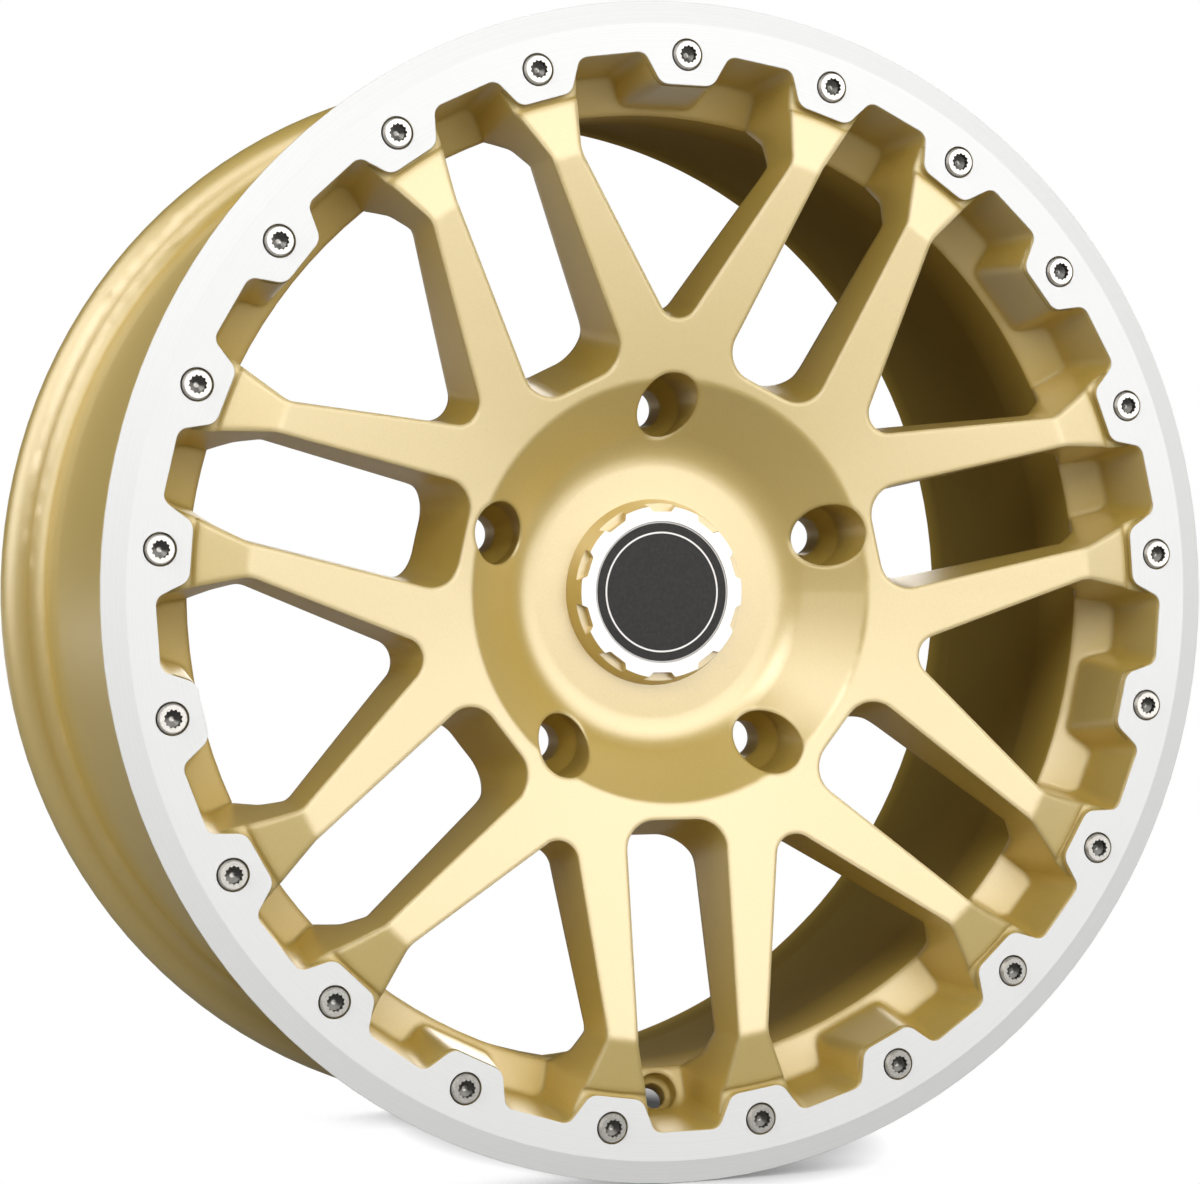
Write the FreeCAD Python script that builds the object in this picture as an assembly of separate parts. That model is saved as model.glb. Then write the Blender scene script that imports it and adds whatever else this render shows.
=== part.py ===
# Cast alloy wheel, 18 x 8 J, with a bolted-look machined lip, screws and a centre cap.
# Millimetres, +Z up. The wheel's axis is Y: the outboard face looks to -Y and the hub's
# mounting face is the plane Y = 0, with the origin at its centre.
import FreeCAD, Part
import math
import os
from FreeCAD import Vector

# Rim contour
BEAD_SEAT_DIA = 462.0
RIM_WIDTH = 203.2
OFFSET = 50.0
FLANGE_HEIGHT = 17.5
REAR_FLANGE_HEIGHT = 16.9
FLANGE_WIDTH = 13.4
FLANGE_CURL = 9.5
FLANGE_TIP = 2.0
SEAT_FILLET = 6.5
SEAT_WIDTH = 16.5
SEAT_TAPER = 5.0
HUMP_RISE = 0.7
HUMP_WIDTH = 12.0
FRONT_HUMP_WIDTH = 9.0
WELL_DEPTH = 19.5
WELL_FRONT_SLOPE = 14.0
WELL_WIDTH = 21.0
BARREL_WALL = 5.3
REAR_CORNER = 8.0

# Machined lip, its tabs and the pockets between them
BEVEL_WIDTH = 9.6
BEVEL_DROP = 2.8
TAB_COUNT = 21
SCREW_INSET = 5.2
TAB_REACH = 12.7
TAB_EDGE_HALF = 11.6
TAB_CORNER = 6.0
POCKET_HALF = 14.6
POCKET_FLARE = 0.4
POCKET_CORNER = 5.0
POCKET_BEYOND_SCREWS = 0.8
POCKET_DRAFT = 10.2
BLOCK_DRAFT = 7.5
BLOCK_FACE_DRAFT = 7.0
GROOVE_WIDTH = 2.6
GROOVE_DEPTH = 3.2
LEDGE_INSET = 25.7
LEDGE_DEPTH = 39.1
LEDGE_SLOPE = 62.7

# Spokes: seven V pairs, a wide V window inside each pair and a slot between pairs
PAIR_COUNT = 7
KINK_INSET = 24.1
KINK_RISE = 2.0
KINK_ROUND = 8.0
RAMP_DROP = 1.5
FACE_SLOPE = 9.4
SPOKE_DRAFT = 5.5
SLOT_HALF = 22.8
SLOT_INNER = 96.5
SLOT_CORNER = 13.0
SLOT_END_DRAFT = 13.0
SLOT_MOUTH_HALF = 17.7
V_POINT = 108.2
V_SHOULDER_HALF = 48.1
V_SHOULDER_SETBACK = 6.0
V_CORNER = 9.0
KINK_CORNER = 12.0
SPOKE_DEPTH_RIM = 22.3
SPOKE_DEPTH_HUB = 31.5
SPOKE_ROOT_REACH = 24.0
SPOKE_ROOT_FILLET = 20.0
SPOKE_END_INSET = 7.0
SPOKE_END_DROP = 5.2

# Hub
HUB_THICKNESS = 26.0
DISH_RADIUS = 90.0
DISH_EDGE_ROUND = 4.0
FLOOR_RADIUS = 62.0
FLOOR_FILLET = 20.0
PAD_RADIUS = 94.0
CENTRE_BORE_DIA = 65.1
CENTRE_BORE_LENGTH = 9.0
BORE_CHAMFER = 1.5
CAP_BORE_DIA = 70.0
CAP_GROOVE_DEPTH = 1.6
CAP_GROOVE_WIDTH = 4.0
CAP_GROOVE_BACK = 17.0
LUG_COUNT = 5
LUG_PCD = 160.0
LUG_BORE_DIA = 16.4
LUG_SEAT_DIA = 26.6
LUG_SEAT_ANGLE = 60.0
LUG_LAND = 13.0
PAD_POCKET_DEPTH = 8.0
PAD_POCKET_WIDTH = 24.0
PAD_POCKET_SPAN = 30.0

# Valve hole in the ledge at six o'clock
VALVE_HOLE_DIA = 11.3
VALVE_SPOT_DIA = 17.0
VALVE_TILT = 25.0
VALVE_BELOW_SEAT = 13.5
VALVE_DEPTH = 40.0

# Rim screws
SCREW_HEAD_DIA = 12.6
SCREW_TOP_DIA = 10.9
SCREW_PROUD = 1.5
COUNTERBORE_DIA = 13.7
COUNTERBORE_DEPTH = 3.0
SCREW_SHANK_DIA = 7.0
SCREW_SHANK_LENGTH = 8.0
SCREW_HOLE_CLEARANCE = 0.1
SOCKET_DIA = 7.9
SOCKET_ROOT_DIA = 6.6
SOCKET_POINTS = 12
SOCKET_DEPTH = 2.6
SOCKET_CONE = 1.2

# Centre cap, its spring ring and its badge
CAP_BASE_DIA = 80.2
CAP_FACE_DIA = 73.8
CAP_HEIGHT = 10.5
CAP_WALL = 2.4
CAP_NOTCHES = 10
CAP_NOTCH_DEPTH = 2.4
CAP_NOTCH_DROP = 4.0
CAP_NOTCH_HALF = 4.2
CAP_NOTCH_FLARE = 0.9
BADGE_DIA = 60.4
BADGE_THICKNESS = 1.0
BADGE_SUNK = 0.3
BADGE_CLEARANCE = 0.15
CAP_LEG_CLEARANCE = 0.4
CAP_LEG_WALL = 3.4
CAP_LEG_SHORT = 4.0
CAP_LEG_BEAD = 1.2
CAP_LEG_COUNT = 6
CAP_LEG_GAP = 9.0
RING_WIRE = 1.8
RING_SEAT = 0.7
RING_CLEARANCE = 0.1

# How far a cutting solid runs past what it cuts
CUT_OVERRUN = 10.0

# Places worked out from the sizes above
seat_r = BEAD_SEAT_DIA / 2
flange_r = seat_r + FLANGE_HEIGHT
rear_flange_r = seat_r + REAR_FLANGE_HEIGHT
lip_y = OFFSET - RIM_WIDTH / 2 - FLANGE_WIDTH
front_wall_y = OFFSET - RIM_WIDTH / 2
rear_wall_y = OFFSET + RIM_WIDTH / 2
rear_y = rear_wall_y + FLANGE_WIDTH
well_r = seat_r - WELL_DEPTH
screw_r = seat_r - SCREW_INSET
tab_r = screw_r - TAB_REACH
pocket_r = screw_r + POCKET_BEYOND_SCREWS
kink_r = tab_r - KINK_INSET
ledge_r = seat_r - LEDGE_INSET
ramp_end_r = tab_r - GROOVE_WIDTH
tab_pitch = 360.0 / TAB_COUNT
pair_pitch = 360.0 / PAIR_COUNT
cut_front = -KINK_RISE - CUT_OVERRUN
cut_back = LEDGE_DEPTH + CUT_OVERRUN
hub_back = CUT_OVERRUN - lip_y
AXIS = Vector(0, 1, 0)
ORIGIN = Vector(0, 0, 0)


def tan(degrees):
    return math.tan(math.radians(degrees))


def face_depth(radius):
    """Depth of the spokes' front cone below the lip face."""
    return (kink_r - radius) * tan(FACE_SLOPE) - KINK_RISE


def rounded_wire(corners, place):
    """Closed wire through corners (a, b, radius); place puts each (a, b) in space."""
    count = len(corners)
    trims = []
    for i, (a, b, radius) in enumerate(corners):
        corner = Vector(a, b, 0)
        if radius == 0:
            trims.append((corner, corner, corner))
            continue
        before = corners[i - 1]
        after = corners[(i + 1) % count]
        to_before = (Vector(before[0], before[1], 0) - corner).normalize()
        to_after = (Vector(after[0], after[1], 0) - corner).normalize()
        half = to_before.getAngle(to_after) / 2
        middle = (to_before + to_after).normalize()
        run = radius / math.tan(half)
        centre = corner + middle * (radius / math.sin(half))
        trims.append((corner + to_before * run, centre - middle * radius, corner + to_after * run))
    edges = []
    for i, (start, middle, end) in enumerate(trims):
        if corners[i][2] > 0:
            edges.append(Part.Arc(place(start), place(middle), place(end)).toShape())
        following = trims[(i + 1) % count][0]
        if (following - end).Length > 1e-6:
            edges.append(Part.makeLine(place(end), place(following)))
    return Part.Wire(edges)


def revolved(corners):
    """Solid of revolution about the wheel's axis from corners (radius, y, rounding)."""
    wire = rounded_wire(corners, lambda p: Vector(p.x, p.y, 0))
    return Part.Face(wire).revolve(ORIGIN, AXIS, 360)


def turned(shape, degrees):
    copy = shape.copy()
    copy.rotate(ORIGIN, AXIS, degrees)
    return copy


def ring_of(shape, count, start=0.0):
    return [turned(shape, start + i * 360.0 / count) for i in range(count)]


def swing(point, degrees):
    """A plan point (outward, sideways) moved round the wheel's axis."""
    c = math.cos(math.radians(degrees))
    s = math.sin(math.radians(degrees))
    return (point[0] * c - point[1] * s, point[0] * s + point[1] * c)


def mirrored(half):
    """Full outline from the half with sideways >= 0, first and last point on either side."""
    other = [(a, -b, r) for a, b, r in reversed(half) if b > 0]
    return half + other


def plan_wire(corners, depth):
    """Outline in the plane at a depth below the lip face, outward being +Z."""
    return rounded_wire(corners, lambda p: Vector(p.y, lip_y + depth, p.x))


def drafted(outline, front, back):
    """Solid between the outline at two depths."""
    wires = [plan_wire(outline(front), front), plan_wire(outline(back), back)]
    return Part.makeLoft(wires, True, True)


def pocket_side(depth):
    """Plan points of one pocket's side, from the spoke's ramp out to the pocket's corner."""
    inward = depth * tan(POCKET_DRAFT)
    narrow = depth * tan(BLOCK_DRAFT)
    corner = (pocket_r - inward, POCKET_HALF - narrow)
    bend_back = (pocket_r - tab_r) / 3
    bend = (corner[0] - bend_back, corner[1] + bend_back * POCKET_FLARE)
    mouth = (tab_r - inward, SLOT_MOUTH_HALF - narrow)
    return mouth, bend, corner


def slot_sides(depth):
    """Plan points of one side of the window between two pairs, from the hub end to the kink."""
    end = SLOT_INNER + (depth - face_depth(SLOT_INNER)) * tan(SLOT_END_DRAFT)
    half_hub = SLOT_HALF - (depth - face_depth(SLOT_INNER)) * tan(SPOKE_DRAFT)
    half_kink = SLOT_HALF - (depth - face_depth(kink_r)) * tan(SPOKE_DRAFT)
    return [(end, half_hub, SLOT_CORNER), (kink_r, half_kink, KINK_CORNER)]


def slot_root_outline(depth):
    """Hub end of that window, which runs on through the root of the spokes to the hub's back."""
    return mirrored(slot_sides(depth))


def slot_outline(depth):
    """Window between two pairs, closed at the rim by one pocket."""
    mouth, bend, corner = pocket_side(depth)
    return mirrored(slot_sides(depth) + [(*mouth, 0), (*bend, 0), (*corner, POCKET_CORNER)])


def v_outline(depth):
    """Window inside a pair, with two pockets and the block of one tab at its rim end."""
    shoulder_s = kink_r - V_SHOULDER_SETBACK
    half_angle = math.atan2(V_SHOULDER_HALF, shoulder_s - V_POINT)
    shrink = (depth - face_depth(V_POINT)) * tan(SPOKE_DRAFT)
    point = V_POINT + shrink / math.sin(half_angle)
    shoulder = V_SHOULDER_HALF - (depth - face_depth(kink_r)) * tan(SPOKE_DRAFT) / math.cos(half_angle)
    mouth, bend, corner = [swing(p, tab_pitch / 2) for p in pocket_side(depth)]
    far_bend, far_corner = [swing((a, -b), tab_pitch / 2) for a, b in pocket_side(depth)[1:]]
    tab_edge = (tab_r - depth * tan(BLOCK_FACE_DRAFT), TAB_EDGE_HALF + depth * tan(BLOCK_DRAFT))
    half = [(point, 0, V_CORNER), (shoulder_s, shoulder, KINK_CORNER), (*mouth, 0), (*bend, 0),
            (*corner, POCKET_CORNER), (*far_corner, POCKET_CORNER), (*far_bend, 0), (*tab_edge, TAB_CORNER)]
    return mirrored(half)


def tab_outline(depth):
    """Raised machined tab round one screw."""
    pocket = [swing((a, -b), tab_pitch / 2) for a, b in pocket_side(depth)[1:]]
    root = pocket_r + TAB_REACH / 2
    slope = (pocket[1][1] - pocket[0][1]) / (pocket[1][0] - pocket[0][0])
    root_half = pocket[1][1] + (root - pocket[1][0]) * slope
    return mirrored([(tab_r, TAB_EDGE_HALF, TAB_CORNER), (root, root_half, 0)])


def casting_blank():
    """Rim and closed disc in one turn, before anything is cut."""
    seat_drop = SEAT_WIDTH * tan(SEAT_TAPER)
    hump_r = seat_r - seat_drop + HUMP_RISE
    hump_drop = HUMP_WIDTH * tan(SEAT_TAPER)
    front_hump_y = front_wall_y + SEAT_WIDTH
    rear_hump_y = rear_wall_y - SEAT_WIDTH
    well_front_y = front_hump_y + FRONT_HUMP_WIDTH + WELL_FRONT_SLOPE
    well_rear_y = well_front_y + WELL_WIDTH
    inner_rear_r = seat_r - BARREL_WALL
    inner_well_r = well_r - BARREL_WALL
    cap_r = CAP_BORE_DIA / 2
    bore_r = CENTRE_BORE_DIA / 2
    groove_y = -CAP_GROOVE_BACK
    tab_step_r = pocket_r - (pocket_r - tab_r) / 3
    dish_y = lip_y + face_depth(DISH_RADIUS)
    spoke_root_r = PAD_RADIUS + SPOKE_ROOT_REACH
    spoke_root_y = lip_y + face_depth(spoke_root_r) + SPOKE_DEPTH_HUB
    spoke_kink_y = lip_y - KINK_RISE + SPOKE_DEPTH_RIM
    spoke_end_y = spoke_kink_y + SPOKE_END_DROP
    ledge_y = lip_y + LEDGE_DEPTH
    return revolved([
        (cap_r, -HUB_THICKNESS, 0),
        (FLOOR_RADIUS, -HUB_THICKNESS, FLOOR_FILLET),
        (DISH_RADIUS, dish_y, DISH_EDGE_ROUND),
        (kink_r, lip_y - KINK_RISE, KINK_ROUND),
        (ramp_end_r, lip_y + RAMP_DROP, 0),
        (tab_r - GROOVE_WIDTH / 2, lip_y + GROOVE_DEPTH, 0),
        (tab_step_r, lip_y + GROOVE_DEPTH, 0),
        (tab_step_r, lip_y, 0),
        (flange_r - BEVEL_WIDTH, lip_y, 0),
        (flange_r, lip_y + BEVEL_DROP, 0),
        (flange_r, front_wall_y, FLANGE_CURL),
        (seat_r, front_wall_y, SEAT_FILLET),
        (seat_r - seat_drop, front_hump_y, 0),
        (hump_r, front_hump_y + HUMP_RISE, 0),
        (hump_r - FRONT_HUMP_WIDTH * tan(SEAT_TAPER), front_hump_y + FRONT_HUMP_WIDTH, 0),
        (well_r, well_front_y, SEAT_FILLET),
        (well_r, well_rear_y, SEAT_FILLET),
        (hump_r - hump_drop, rear_hump_y - HUMP_WIDTH, 0),
        (hump_r, rear_hump_y - HUMP_RISE, 0),
        (seat_r - seat_drop, rear_hump_y, 0),
        (seat_r, rear_wall_y, SEAT_FILLET),
        (rear_flange_r, rear_wall_y, FLANGE_CURL),
        (rear_flange_r, rear_y, FLANGE_TIP),
        (inner_rear_r, rear_y, REAR_CORNER),
        (inner_rear_r, rear_hump_y, 0),
        (inner_well_r, well_rear_y, 0),
        (ledge_r, ledge_y, 0),
        (ledge_r - SPOKE_END_INSET, spoke_end_y, SPOKE_END_INSET),
        (kink_r, spoke_kink_y, 0),
        (spoke_root_r, spoke_root_y, SPOKE_ROOT_FILLET),
        (PAD_RADIUS, 0, BORE_CHAMFER),
        (bore_r + BORE_CHAMFER, 0, 0),
        (bore_r, -BORE_CHAMFER, 0),
        (bore_r, -CENTRE_BORE_LENGTH, 0),
        (cap_r, -CENTRE_BORE_LENGTH, 0),
        (cap_r, groove_y + CAP_GROOVE_WIDTH / 2, 0),
        (cap_r + CAP_GROOVE_DEPTH, groove_y + CAP_GROOVE_WIDTH / 4, 0),
        (cap_r + CAP_GROOVE_DEPTH, groove_y - CAP_GROOVE_WIDTH / 4, 0),
        (cap_r, groove_y - CAP_GROOVE_WIDTH / 2, 0),
    ])


def window_limit():
    """Space that the windows may open: it ends at the sloping ledge and at the barrel."""
    ledge_y = lip_y + LEDGE_DEPTH
    front_y = lip_y + cut_front
    return revolved([
        (0, front_y, 0),
        (ledge_r + (ledge_y - front_y) * tan(LEDGE_SLOPE), front_y, 0),
        (ledge_r, ledge_y, 0),
        (ledge_r, lip_y + cut_back, 0),
        (0, lip_y + cut_back, 0),
    ])


def windows():
    limit = window_limit()
    slot = drafted(slot_outline, cut_front, cut_back).common(limit)
    slot = slot.fuse(drafted(slot_root_outline, cut_back, hub_back))
    v_window = drafted(v_outline, cut_front, cut_back).common(limit)
    return ring_of(v_window, PAIR_COUNT) + ring_of(slot, PAIR_COUNT, pair_pitch / 2)


def tabs():
    """Machined islands that stand above the groove at the spokes' ends."""
    tab = drafted(tab_outline, 0, GROOVE_DEPTH + CUT_OVERRUN / 10)
    return ring_of(tab, TAB_COUNT)


def axial_cylinder(diameter, start_y, end_y, radius=0.0):
    """Cylinder along the wheel's axis, its own axis at a radius above the wheel's."""
    return Part.makeCylinder(diameter / 2, end_y - start_y, Vector(0, start_y, radius), AXIS)


def lug_holes():
    """Counterbore from the front, conical seat and through bore."""
    radius = LUG_PCD / 2
    seat_y = -LUG_LAND
    seat_height = (LUG_SEAT_DIA - LUG_BORE_DIA) / 2 / tan(LUG_SEAT_ANGLE / 2)
    cone = Part.makeCone(LUG_BORE_DIA / 2, LUG_SEAT_DIA / 2, seat_height,
                         Vector(0, seat_y, radius), Vector(0, -1, 0))
    counterbore = axial_cylinder(LUG_SEAT_DIA, lip_y, seat_y - seat_height, radius)
    bore = axial_cylinder(LUG_BORE_DIA, seat_y - seat_height, CUT_OVERRUN, radius)
    return ring_of(bore.fuse([cone, counterbore]), LUG_COUNT)


def pad_pockets():
    """Weight-saving pockets in the mounting pad, one between each two lug holes."""
    inner = LUG_PCD / 2 - PAD_POCKET_WIDTH / 2
    outer = LUG_PCD / 2 + PAD_POCKET_WIDTH / 4
    half = PAD_POCKET_SPAN / 2
    profile = Part.makePolygon([Vector(inner, -PAD_POCKET_DEPTH, 0), Vector(outer, -PAD_POCKET_DEPTH, 0),
                                Vector(outer, CUT_OVERRUN, 0), Vector(inner, CUT_OVERRUN, 0),
                                Vector(inner, -PAD_POCKET_DEPTH, 0)])
    pocket = Part.Face(profile).revolve(ORIGIN, AXIS, PAD_POCKET_SPAN)
    pocket = turned(pocket, -half)
    first = -90.0 + 180.0 / LUG_COUNT
    return ring_of(pocket, LUG_COUNT, first)


def valve_hole():
    """Slanted bore through the ledge with a spot face on its front side, at six o'clock."""
    radius = seat_r - VALVE_BELOW_SEAT
    seat = Vector(0, lip_y + VALVE_DEPTH, -radius)
    tilt = math.radians(VALVE_TILT)
    outward = Vector(0, -math.cos(tilt), math.sin(tilt))
    reach = LEDGE_DEPTH
    spot = Part.makeCylinder(VALVE_SPOT_DIA / 2, reach, seat, outward)
    bore = Part.makeCylinder(VALVE_HOLE_DIA / 2, 2 * reach, seat - outward * reach, outward)
    return [spot, bore]


def screw_holes():
    seat_y = lip_y + COUNTERBORE_DEPTH
    counterbore = axial_cylinder(COUNTERBORE_DIA, lip_y - CUT_OVERRUN, seat_y, screw_r)
    hole_dia = SCREW_SHANK_DIA + 2 * SCREW_HOLE_CLEARANCE
    hole_end = seat_y + SCREW_SHANK_LENGTH + 10 * SCREW_HOLE_CLEARANCE
    hole = axial_cylinder(hole_dia, seat_y, hole_end, screw_r)
    return ring_of(counterbore.fuse(hole), TAB_COUNT)


def wheel_casting():
    """The whole one-piece casting: rim, spokes and hub."""
    body = casting_blank().fuse(tabs())
    body = body.cut(windows())
    body = body.cut(lug_holes() + pad_pockets() + valve_hole() + screw_holes())
    return body.removeSplitter()


def rim_screw():
    """Short screw with a tapered head and a twelve-point socket, at twelve o'clock."""
    seat_y = lip_y + COUNTERBORE_DEPTH
    top_y = lip_y - SCREW_PROUD
    head_r = SCREW_HEAD_DIA / 2
    top_r = SCREW_TOP_DIA / 2
    shank_r = SCREW_SHANK_DIA / 2
    outline = [(0, top_y), (top_r, top_y), (head_r, lip_y), (head_r, seat_y), (shank_r, seat_y),
               (shank_r, seat_y + SCREW_SHANK_LENGTH), (0, seat_y + SCREW_SHANK_LENGTH)]
    points = [Vector(r, y, 0) for r, y in outline]
    screw = Part.Face(Part.makePolygon(points + points[:1])).revolve(ORIGIN, AXIS, 360)
    flutes = []
    for i in range(2 * SOCKET_POINTS):
        reach = (SOCKET_DIA if i % 2 == 0 else SOCKET_ROOT_DIA) / 2
        angle = math.pi * i / SOCKET_POINTS
        flutes.append(Vector(reach * math.sin(angle), top_y, reach * math.cos(angle)))
    socket = Part.Face(Part.makePolygon(flutes + flutes[:1])).extrude(AXIS * SOCKET_DEPTH)
    bottom = Part.makeCone(SOCKET_ROOT_DIA / 2, 0, SOCKET_CONE, Vector(0, top_y + SOCKET_DEPTH, 0), AXIS)
    screw = screw.cut([socket, bottom])
    screw.translate(Vector(0, 0, screw_r))
    return screw


def cap_notches():
    """Trapezoid cuts round the cap's collar."""
    face_r = CAP_FACE_DIA / 2
    outer = CAP_BASE_DIA / 2 + CAP_NOTCH_DEPTH
    inner = face_r - CAP_NOTCH_DEPTH
    outer_half = CAP_NOTCH_HALF + (outer - inner) * CAP_NOTCH_FLARE
    face_y = -HUB_THICKNESS - CAP_HEIGHT
    points = [Vector(-CAP_NOTCH_HALF, face_y, inner), Vector(CAP_NOTCH_HALF, face_y, inner),
              Vector(outer_half, face_y, outer), Vector(-outer_half, face_y, outer)]
    notch = Part.Face(Part.makePolygon(points + points[:1])).extrude(AXIS * CAP_NOTCH_DROP)
    return ring_of(notch, CAP_NOTCHES)


def centre_cap():
    """Moulded cap: notched collar on the hub's floor, snap legs in the cap bore."""
    floor_y = -HUB_THICKNESS
    face_y = floor_y - CAP_HEIGHT
    leg_r = CAP_BORE_DIA / 2 - CAP_LEG_CLEARANCE
    leg_inner = leg_r - CAP_LEG_WALL
    leg_end = -CENTRE_BORE_LENGTH - CAP_LEG_SHORT
    recess_r = BADGE_DIA / 2 + BADGE_CLEARANCE
    recess_y = face_y + BADGE_SUNK + BADGE_THICKNESS
    groove_y = -CAP_GROOVE_BACK
    bead_half = CAP_GROOVE_WIDTH / 4 - CAP_LEG_CLEARANCE / 4
    ring_r = leg_inner + RING_SEAT
    wire = RING_WIRE / 2 + RING_CLEARANCE
    ring_y = (floor_y + leg_end) / 2
    body = revolved([
        (0, recess_y, 0),
        (recess_r, recess_y, 0),
        (recess_r, face_y, 0),
        (CAP_FACE_DIA / 2, face_y, 0),
        (CAP_BASE_DIA / 2, floor_y, 0),
        (leg_r, floor_y, 0),
        (leg_r, groove_y - bead_half - CAP_LEG_BEAD, 0),
        (leg_r + CAP_LEG_BEAD, groove_y - bead_half, 0),
        (leg_r + CAP_LEG_BEAD, groove_y + bead_half, 0),
        (leg_r, groove_y + bead_half + CAP_LEG_BEAD, 0),
        (leg_r, leg_end, 0),
        (leg_inner, leg_end, 0),
        (leg_inner, ring_y + wire, 0),
        (ring_r, ring_y + wire, 0),
        (ring_r, ring_y - wire, 0),
        (leg_inner, ring_y - wire, 0),
        (leg_inner, recess_y + CAP_WALL, 0),
        (0, recess_y + CAP_WALL, 0),
    ])
    gap_height = leg_end - floor_y
    gap = Part.makeBox(CAP_LEG_GAP, gap_height + CUT_OVERRUN, CAP_BORE_DIA,
                       Vector(-CAP_LEG_GAP / 2, floor_y, 0))
    return body.cut(cap_notches() + ring_of(gap, CAP_LEG_COUNT))


def cap_spring_ring():
    """Open steel wire ring that spreads the cap's legs."""
    leg_r = CAP_BORE_DIA / 2 - CAP_LEG_CLEARANCE
    floor_y = -HUB_THICKNESS
    leg_end = -CENTRE_BORE_LENGTH - CAP_LEG_SHORT
    ring_y = (floor_y + leg_end) / 2
    radius = leg_r - CAP_LEG_WALL + RING_SEAT - RING_WIRE / 2
    wire = Part.Face(Part.Wire(Part.makeCircle(RING_WIRE / 2, Vector(radius, ring_y, 0), Vector(0, 0, 1))))
    return wire.revolve(ORIGIN, AXIS, 360 - 2 * math.degrees(RING_WIRE / radius))


def cap_badge():
    """Plain metal disc let into the cap's face."""
    face_y = -HUB_THICKNESS - CAP_HEIGHT
    return axial_cylinder(BADGE_DIA, face_y + BADGE_SUNK, face_y + BADGE_SUNK + BADGE_THICKNESS)


os.makedirs("parts", exist_ok=True)
wheel_casting().exportStep("parts/wheel_casting.step")
Part.makeCompound(ring_of(rim_screw(), TAB_COUNT)).exportStep("parts/rim_screws.step")
centre_cap().exportStep("parts/centre_cap.step")
cap_spring_ring().exportStep("parts/cap_spring_ring.step")
cap_badge().exportStep("parts/cap_badge.step")
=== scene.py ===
import math
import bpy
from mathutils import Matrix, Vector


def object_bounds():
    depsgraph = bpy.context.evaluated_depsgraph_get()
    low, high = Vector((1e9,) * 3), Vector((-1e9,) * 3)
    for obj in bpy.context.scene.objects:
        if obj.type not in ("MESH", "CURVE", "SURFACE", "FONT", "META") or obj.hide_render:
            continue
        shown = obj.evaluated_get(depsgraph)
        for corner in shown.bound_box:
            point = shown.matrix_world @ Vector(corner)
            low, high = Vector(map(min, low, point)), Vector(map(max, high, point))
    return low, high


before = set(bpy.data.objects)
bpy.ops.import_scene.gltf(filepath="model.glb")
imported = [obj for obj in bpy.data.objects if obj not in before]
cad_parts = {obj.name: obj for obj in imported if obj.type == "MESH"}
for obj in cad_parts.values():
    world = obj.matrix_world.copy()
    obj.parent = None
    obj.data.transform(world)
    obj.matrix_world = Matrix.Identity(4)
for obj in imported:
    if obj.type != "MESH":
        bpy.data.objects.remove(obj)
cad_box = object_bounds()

from types import SimpleNamespace

import bpy

# Wheel casting
# One low-pressure aluminium casting: rim, spokes and hub. It is painted satin gold all over. Inside the
# barrel the gold is drawn darker and duller, which is painted shade. Then the lip's face, its tabs and
# the bevel at its edge are turned bare.


def new_material(name):
    material = bpy.data.materials.new(name)
    material.use_nodes = True
    tree = material.node_tree
    return material, tree, tree.nodes["Principled BSDF"]


def add_node(tree, kind, values=None, **settings):
    node = tree.nodes.new(kind)
    for key, value in settings.items():
        setattr(node, key, value)
    for key, value in (values or {}).items():
        node.inputs[key].default_value = value
    return node


def maths(tree, operation, a, b=0.0):
    node = add_node(tree, "ShaderNodeMath", operation=operation)
    for socket, value in zip(node.inputs, (a, b)):
        if isinstance(value, (int, float)):
            socket.default_value = value
        else:
            tree.links.new(value, socket)
    return node.outputs[0]


def squares(tree, a, b):
    """The sum of the squares of two values."""
    return maths(tree, "ADD", maths(tree, "MULTIPLY", a, a), maths(tree, "MULTIPLY", b, b))


def wheel_places(tree):
    """Object coordinates, their x, y and z, and the radius from the wheel's axis, which is y."""
    coords = add_node(tree, "ShaderNodeTexCoord").outputs["Object"]
    parts = add_node(tree, "ShaderNodeSeparateXYZ")
    tree.links.new(coords, parts.inputs[0])
    x, y, z = parts.outputs
    radius = maths(tree, "SQRT", squares(tree, x, z))
    return SimpleNamespace(coords=coords, x=x, y=y, z=z, radius=radius)


def ramped(tree, value, start, end, low=0.0, high=1.0):
    """A value carried from one range to another and held at its ends."""
    limits = {"From Min": start, "From Max": end, "To Min": low, "To Max": high}
    node = add_node(tree, "ShaderNodeMapRange", limits)
    tree.links.new(value, node.inputs[0])
    return node.outputs[0]


def value_where(tree, mask, inside, outside):
    return ramped(tree, mask, 0.0, 1.0, low=outside, high=inside)


def all_of(tree, first, *others):
    """The product of values and masks."""
    for other in others:
        first = maths(tree, "MULTIPLY", first, other)
    return first


NOISE_LOW = 0.3
NOISE_HIGH = 0.7
TURNING_SCALE = 1800.0


def grain(tree, coords, scale, low, high):
    """A fine even noise between two values."""
    noise = add_node(tree, "ShaderNodeTexNoise", {"Scale": scale, "Detail": 2.0})
    tree.links.new(coords, noise.inputs["Vector"])
    return ramped(tree, noise.outputs[0], NOISE_LOW, NOISE_HIGH, low, high)


def turning(tree, radius, low, high):
    """The fine rings that a lathe leaves, between two values."""
    values = {"Scale": TURNING_SCALE, "Detail": 3.0}
    noise = add_node(tree, "ShaderNodeTexNoise", values, noise_dimensions="1D")
    tree.links.new(radius, noise.inputs["W"])
    return ramped(tree, noise.outputs[0], NOISE_LOW, NOISE_HIGH, low, high)


def tinted(tree, colour, factor):
    """A colour multiplied by a varying factor."""
    node = add_node(tree, "ShaderNodeVectorMath", operation="SCALE")
    node.inputs[0].default_value = colour
    tree.links.new(factor, node.inputs["Scale"])
    return node.outputs[0]


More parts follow.
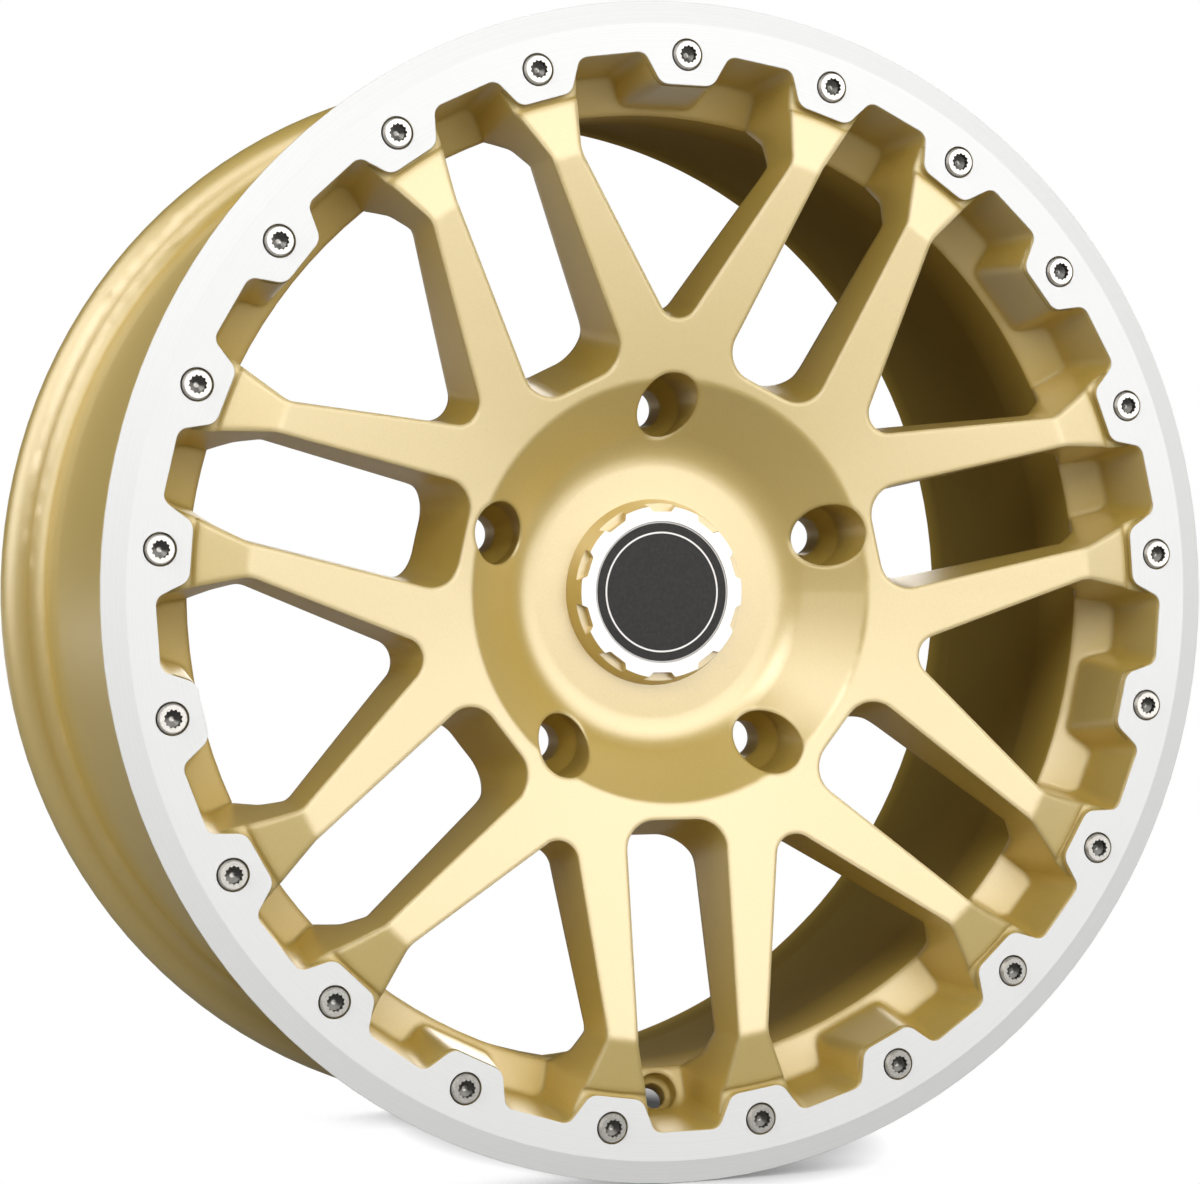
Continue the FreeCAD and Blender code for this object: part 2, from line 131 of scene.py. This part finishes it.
def colour_where(tree, mask, inside, outside):
    node = add_node(tree, "ShaderNodeMix", data_type="RGBA")
    tree.links.new(mask, node.inputs["Factor"])
    tree.links.new(outside, node.inputs[6])
    tree.links.new(inside, node.inputs[7])
    return node.outputs[2]


def soft_edges(tree, width):
    """Edges that look rounded by a width, as paint and sanding leave them."""
    node = add_node(tree, "ShaderNodeBevel", samples=4)
    tree.links.new(width, node.inputs["Radius"])
    return node.outputs[0]


GOLD = (0.66, 0.47, 0.098)
# The next colour is the gold drawn inside the barrel, darker as painted shade.
SHADED_BARREL_GOLD = (0.28, 0.195, 0.047)
BARE = (0.86, 0.86, 0.85)
FLAKE_SCALE = 2600.0
FLAKE_LOW = 0.93
FLAKE_HIGH = 1.07
PAINT_METALLIC = 0.25
PAINT_ROUGHNESS = 0.42
COAT_ROUGHNESS = 0.35
COAT_IOR = 2.8
LIP_Y = -0.065
LIP_DEPTH = 0.0002
TAB_EDGE = 0.2118
BEVEL_START = 0.2387
BEVEL_DEPTH = 0.0031
BARREL_FRONT_Y = -0.0259
BARREL_CREASE_Y = 0.0089
BARREL_SEAT_Y = 0.1351
BARREL_REAR_Y = cad_box[1][1]
BARREL_REAR_FADE = 0.02
BARREL_INNERMOST = 0.2
WALL_AT_CREASE = 0.2088
WALL_AT_SEAT = 0.2283
BARREL_SHADE_FROM = 0.4
CORNER_REACH = 0.03
SPOKE_EDGE = 0.0028
POCKET_EDGE = 0.0042
POCKETS_START = 0.18
POCKETS_END = 0.2
BARE_EDGE_SHARE = 0.12

casting_mat, tree, paint = new_material("gold_paint_and_bare_lip")
at = wheel_places(tree)
on_face = all_of(tree, maths(tree, "GREATER_THAN", at.radius, TAB_EDGE),
                 maths(tree, "LESS_THAN", at.y, LIP_Y + LIP_DEPTH))
on_bevel = all_of(tree, maths(tree, "GREATER_THAN", at.radius, BEVEL_START),
                  maths(tree, "LESS_THAN", at.y, LIP_Y + BEVEL_DEPTH))
is_bare = maths(tree, "MAXIMUM", on_face, on_bevel)
wall_middle = ramped(tree, at.y, BARREL_CREASE_Y, BARREL_SEAT_Y, WALL_AT_CREASE, WALL_AT_SEAT)
# Painted shade: inside the barrel the gold is darker, rougher and barely reflects, fading in at both
# ends.
in_barrel = all_of(tree, maths(tree, "LESS_THAN", at.radius, wall_middle),
                   maths(tree, "GREATER_THAN", at.radius, BARREL_INNERMOST),
                   maths(tree, "GREATER_THAN", at.y, BARREL_FRONT_Y),
                   ramped(tree, at.y, BARREL_FRONT_Y, BARREL_CREASE_Y, low=0.45, high=1.0),
                   ramped(tree, at.y, BARREL_REAR_Y - BARREL_REAR_FADE, BARREL_REAR_Y, low=1.0, high=0.3))
barrel_shade = ramped(tree, in_barrel, 0.0, BARREL_SHADE_FROM)
# Painted shade: an occlusion test darkens the paint's colour and takes away its coat in corners and
# creases.
corners = add_node(tree, "ShaderNodeAmbientOcclusion", {"Distance": CORNER_REACH}, samples=3,
                   only_local=True).outputs["AO"]

flakes_and_corner_shade = all_of(tree, grain(tree, at.coords, FLAKE_SCALE, FLAKE_LOW, FLAKE_HIGH),
                ramped(tree, corners, 0.2, 0.8, low=0.65, high=1.0))
gold = colour_where(tree, in_barrel, tinted(tree, SHADED_BARREL_GOLD, flakes_and_corner_shade), tinted(tree, GOLD, flakes_and_corner_shade))
# The lathe rings, and the bevel drawn a little darker than the face, which is painted shade.
rings_and_bevel_shade = all_of(tree, turning(tree, at.radius, low=0.975, high=1.02),
               value_where(tree, on_bevel, inside=0.96, outside=1.0))
tree.links.new(colour_where(tree, is_bare, tinted(tree, BARE, rings_and_bevel_shade), gold),
               paint.inputs["Base Color"])
tree.links.new(all_of(tree, value_where(tree, is_bare, inside=0.15, outside=PAINT_METALLIC),
                      value_where(tree, on_bevel, inside=0.5, outside=1.0),
                      value_where(tree, barrel_shade, inside=0.0, outside=1.0)),
               paint.inputs["Metallic"])
tree.links.new(maths(tree, "ADD", value_where(tree, is_bare, inside=0.5, outside=PAINT_ROUGHNESS),
                     value_where(tree, in_barrel, inside=0.45, outside=0.0)),
               paint.inputs["Roughness"])
tree.links.new(value_where(tree, barrel_shade, inside=0.03, outside=0.28),
               paint.inputs["Specular IOR Level"])
tree.links.new(all_of(tree, value_where(tree, barrel_shade, inside=0.0, outside=1.0),
                      value_where(tree, is_bare, inside=0.0, outside=1.0),
                      ramped(tree, corners, 0.3, 0.8)),
               paint.inputs["Coat Weight"])
paint.inputs["Coat Roughness"].default_value = COAT_ROUGHNESS
paint.inputs["Coat IOR"].default_value = COAT_IOR
edge_width = ramped(tree, at.radius, POCKETS_START, POCKETS_END, SPOKE_EDGE, POCKET_EDGE)
edge_share = value_where(tree, is_bare, inside=BARE_EDGE_SHARE, outside=1.0)
rounded = soft_edges(tree, all_of(tree, edge_width, edge_share))
tree.links.new(rounded, paint.inputs["Normal"])
tree.links.new(rounded, paint.inputs["Coat Normal"])


def dress(name, material):
    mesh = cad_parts[name].data
    mesh.materials.clear()
    mesh.materials.append(material)


dress("wheel_casting", casting_mat)

# Rim screws
# Short steel screws with a tapered twelve-point socket head, one in each tab of the lip. Their colour is
# bright on top and dark in their sockets, painted light and shade, and a painted highlight lights the pin
# in the middle of each socket.

STEEL_TINT = (1.0, 0.96, 0.89)
STEEL_GRAIN = 1500.0
SCREW_COUNT = 21
SCREW_CIRCLE = 0.2258
SCREW_PITCH = 2 * math.pi / SCREW_COUNT
BRIGHT_ABOVE_LIP = 0.0014
DARK_BELOW_LIP = 0.0012
SOCKET_RADIUS = 0.0032
PIN_RADIUS = 0.0009
PIN_FADE_RADIUS = 0.0013

screw_mat, tree, steel = new_material("screw_steel")
at = wheel_places(tree)
turns = maths(tree, "MULTIPLY", maths(tree, "ARCTAN2", at.x, at.z), 1 / SCREW_PITCH)
part_turn = maths(tree, "SUBTRACT", turns, maths(tree, "ROUND", turns))
swing = maths(tree, "MULTIPLY", part_turn, SCREW_PITCH)
outward = maths(tree, "SUBTRACT", maths(tree, "MULTIPLY", at.radius, maths(tree, "COSINE", swing)),
                SCREW_CIRCLE)
sideways = maths(tree, "MULTIPLY", at.radius, maths(tree, "SINE", swing))
from_centre = maths(tree, "SQRT", squares(tree, outward, sideways))
# Painted light and shade: bright on the head's top, dark down in the socket, and a painted highlight on
# the pin.
depth_shade = ramped(tree, at.y, LIP_Y - BRIGHT_ABOVE_LIP, LIP_Y + DARK_BELOW_LIP, low=0.6, high=0.12)
pin_highlight = all_of(tree, ramped(tree, from_centre, PIN_RADIUS, PIN_FADE_RADIUS, low=0.25, high=0.0),
             maths(tree, "LESS_THAN", from_centre, SOCKET_RADIUS))
shade = all_of(tree, maths(tree, "ADD", depth_shade, pin_highlight),
               grain(tree, at.coords, STEEL_GRAIN, low=0.85, high=1.15))
tree.links.new(tinted(tree, STEEL_TINT, shade), steel.inputs["Base Color"])
steel.inputs["Metallic"].default_value = 1.0
steel.inputs["Roughness"].default_value = 0.3
dress("rim_screws", screw_mat)

# Centre cap
# One plastic moulding, snapped into the bore by its legs. Its notched collar is painted gold, and the
# ring on its face is bright.

CAP_RING_Y = -0.0363
COLLAR_EDGE = 0.0009
RING_EDGE = 0.0004

cap_mat, tree, collar = new_material("cap_plastic")
at = wheel_places(tree)
on_ring = maths(tree, "LESS_THAN", at.y, CAP_RING_Y)
gold = tinted(tree, GOLD, grain(tree, at.coords, FLAKE_SCALE, FLAKE_LOW, FLAKE_HIGH))
bright = tinted(tree, BARE, turning(tree, at.radius, low=0.98, high=1.02))
tree.links.new(colour_where(tree, on_ring, bright, gold), collar.inputs["Base Color"])
tree.links.new(value_where(tree, on_ring, inside=0.4, outside=PAINT_METALLIC),
               collar.inputs["Metallic"])
tree.links.new(value_where(tree, on_ring, inside=0.3, outside=PAINT_ROUGHNESS),
               collar.inputs["Roughness"])
tree.links.new(value_where(tree, on_ring, inside=0.0, outside=1.0), collar.inputs["Coat Weight"])
collar.inputs["Coat Roughness"].default_value = COAT_ROUGHNESS
collar.inputs["Coat IOR"].default_value = COAT_IOR
rounded = soft_edges(tree, value_where(tree, on_ring, inside=RING_EDGE, outside=COLLAR_EDGE))
tree.links.new(rounded, collar.inputs["Normal"])
dress("centre_cap", cap_mat)

# Cap badge
# A thin plain metal disc in dark grey, let into the cap's face, with one fine pale ring, and a bright
# edge that is a painted highlight.

BADGE_TINT = (1.0, 0.96, 0.93)
BADGE_GRAIN = 700.0
RING_RADIUS = 0.0255
RING_HALF = 0.00038
RING_SHADE = 0.8
BADGE_EDGE = 0.0296
EDGE_HIGHLIGHT = 0.5

badge_mat, tree, disc = new_material("badge_metal")
at = wheel_places(tree)
from_ring = maths(tree, "ABSOLUTE", maths(tree, "SUBTRACT", at.radius, RING_RADIUS))
ring = maths(tree, "MULTIPLY", maths(tree, "LESS_THAN", from_ring, RING_HALF), RING_SHADE)
# Painted highlight: the badge's outer edge is drawn bright.
edge_highlight = maths(tree, "MULTIPLY", maths(tree, "GREATER_THAN", at.radius, BADGE_EDGE), EDGE_HIGHLIGHT)
shade = maths(tree, "ADD", maths(tree, "ADD", ring, edge_highlight),
              grain(tree, at.coords, BADGE_GRAIN, low=0.032, high=0.042))
tree.links.new(tinted(tree, BADGE_TINT, shade), disc.inputs["Base Color"])
disc.inputs["Metallic"].default_value = 0.3
disc.inputs["Roughness"].default_value = 0.45
disc.inputs["Specular IOR Level"].default_value = 0.2
dress("cap_badge", badge_mat)

# Cap spring ring
# An open ring bent from spring steel wire. It sits behind the cap, out of sight, and spreads the
# cap's legs in the bore.

WIRE_GREY = (0.5, 0.5, 0.5)

wire_mat, tree, wire = new_material("spring_steel")
at = wheel_places(tree)
tree.links.new(tinted(tree, WIRE_GREY, grain(tree, at.coords, STEEL_GRAIN, low=0.9, high=1.1)),
               wire.inputs["Base Color"])
wire.inputs["Metallic"].default_value = 1.0
wire.inputs["Roughness"].default_value = 0.4
dress("cap_spring_ring", wire_mat)

# Floor, light and camera
# A plain studio floor that the wheel stands on, with the wheel's soft shadow painted onto it. Wide soft
# lamps stand in front, at the left and behind. To the camera the floor and the room are white.


def room_strength(tree, sweep, plain):
    """White for the camera, the sweep for what shiny things see, a plain value for other light."""
    path = add_node(tree, "ShaderNodeLightPath").outputs
    reflected = maths(tree, "MAXIMUM", path["Is Glossy Ray"], path["Is Transmission Ray"])
    shown = maths(tree, "MAXIMUM", maths(tree, "MULTIPLY", reflected, sweep), path["Is Camera Ray"])
    return maths(tree, "MAXIMUM", shown, plain)


WHITE = (1, 1, 1, 1)
FLOOR_SIZE = 12.0
FLOOR_GAP = 0.0001
FLOOR_Z = cad_box[0][2] - FLOOR_GAP
FLOOR_GREY = (0.2, 0.2, 0.2, 1)
DIM = 0.08
WHITE_FLOOR_START_Y = 1.2
WHITE_FLOOR_FULL_Y = 3.0
CONTACT_REACH = 0.045
SHADOW_MIDDLE_X = 0.03
SHADOW_MIDDLE_Y = 0.08
SHADOW_REACH_X = 0.085
SHADOW_REACH_Y = 0.13

bpy.ops.object.select_all(action="DESELECT")
bpy.ops.mesh.primitive_plane_add(size=FLOOR_SIZE, location=(0, 0, 0))
floor = bpy.context.object
floor.name = "floor"
bpy.ops.object.mode_set(mode="EDIT")
bpy.ops.mesh.select_all(action="SELECT")
bpy.ops.transform.translate(value=(0, 0, FLOOR_Z))
bpy.ops.object.mode_set(mode="OBJECT")
floor_mat, tree, pale = new_material("pale_floor")
pale.inputs["Base Color"].default_value = FLOOR_GREY
pale.inputs["Roughness"].default_value = 0.8
at = wheel_places(tree)
# Painted shadow: the floor's white is darkened near the contact and in an ellipse under and behind the
# wheel.
contact = add_node(tree, "ShaderNodeAmbientOcclusion", {"Distance": CONTACT_REACH}, samples=6)
across = maths(tree, "DIVIDE", maths(tree, "SUBTRACT", at.x, SHADOW_MIDDLE_X), SHADOW_REACH_X)
back = maths(tree, "DIVIDE", maths(tree, "SUBTRACT", at.y, SHADOW_MIDDLE_Y), SHADOW_REACH_Y)
painted_shadow = all_of(tree, ramped(tree, contact.outputs["AO"], 0.1, 0.5, low=0.25, high=1.0),
                ramped(tree, squares(tree, across, back), 0.4, 1.6, low=0.1, high=1.0))
white = add_node(tree, "ShaderNodeEmission", {"Color": WHITE})
tree.links.new(painted_shadow, white.inputs["Strength"])
choose = add_node(tree, "ShaderNodeMixShader")
sweep = ramped(tree, at.y, WHITE_FLOOR_START_Y, WHITE_FLOOR_FULL_Y, low=DIM)
tree.links.new(room_strength(tree, sweep, plain=0.0), choose.inputs[0])
tree.links.new(pale.outputs[0], choose.inputs[1])
tree.links.new(white.outputs[0], choose.inputs[2])
tree.links.new(choose.outputs[0], tree.nodes["Material Output"].inputs[0])
floor.data.materials.append(floor_mat)

WHITE_ROOM_START = 0.97
WHITE_ROOM_FULL = 0.995
ROOM_LIGHT = 0.03

world = bpy.data.worlds.new("studio")
bpy.context.scene.world = world
world.use_nodes = True
tree = world.node_tree
room = tree.nodes["Background"]
room.inputs["Color"].default_value = WHITE
looking = add_node(tree, "ShaderNodeSeparateXYZ")
tree.links.new(add_node(tree, "ShaderNodeTexCoord").outputs["Generated"], looking.inputs[0])
sweep = ramped(tree, looking.outputs["Y"], WHITE_ROOM_START, WHITE_ROOM_FULL, low=DIM)
tree.links.new(room_strength(tree, sweep, plain=ROOM_LIGHT), room.inputs["Strength"])


def softbox(name, place, power, size):
    """A square lamp that looks at the wheel's middle."""
    bpy.ops.object.light_add(type="AREA", location=place)
    lamp = bpy.context.object
    lamp.name = name
    lamp.data.energy = power
    lamp.data.size = size
    aim = -lamp.location
    lamp.rotation_euler = aim.to_track_quat("-Z", "Y").to_euler()


softbox("front", place=(1.0, -2.3, 0.7), power=61.0, size=2.8)
softbox("left", place=(-2.4, -0.2, 1.2), power=50.0, size=2.9)
softbox("key", place=(-1.2, -2.2, 1.4), power=28.0, size=1.4)
softbox("back", place=(1.8, 2.2, 1.1), power=46.0, size=2.2)

CAMERA_PLACE = (-0.51006, -1.31898, 0.0)
CAMERA_TURN = math.radians(-20.58)

bpy.ops.object.camera_add(location=CAMERA_PLACE, rotation=(math.radians(90), 0, CAMERA_TURN))
camera = bpy.context.object
camera.data.sensor_width = 36.0
camera.data.lens = 96.6
bpy.context.scene.camera = camera
bpy.context.scene.view_settings.view_transform = "Standard"
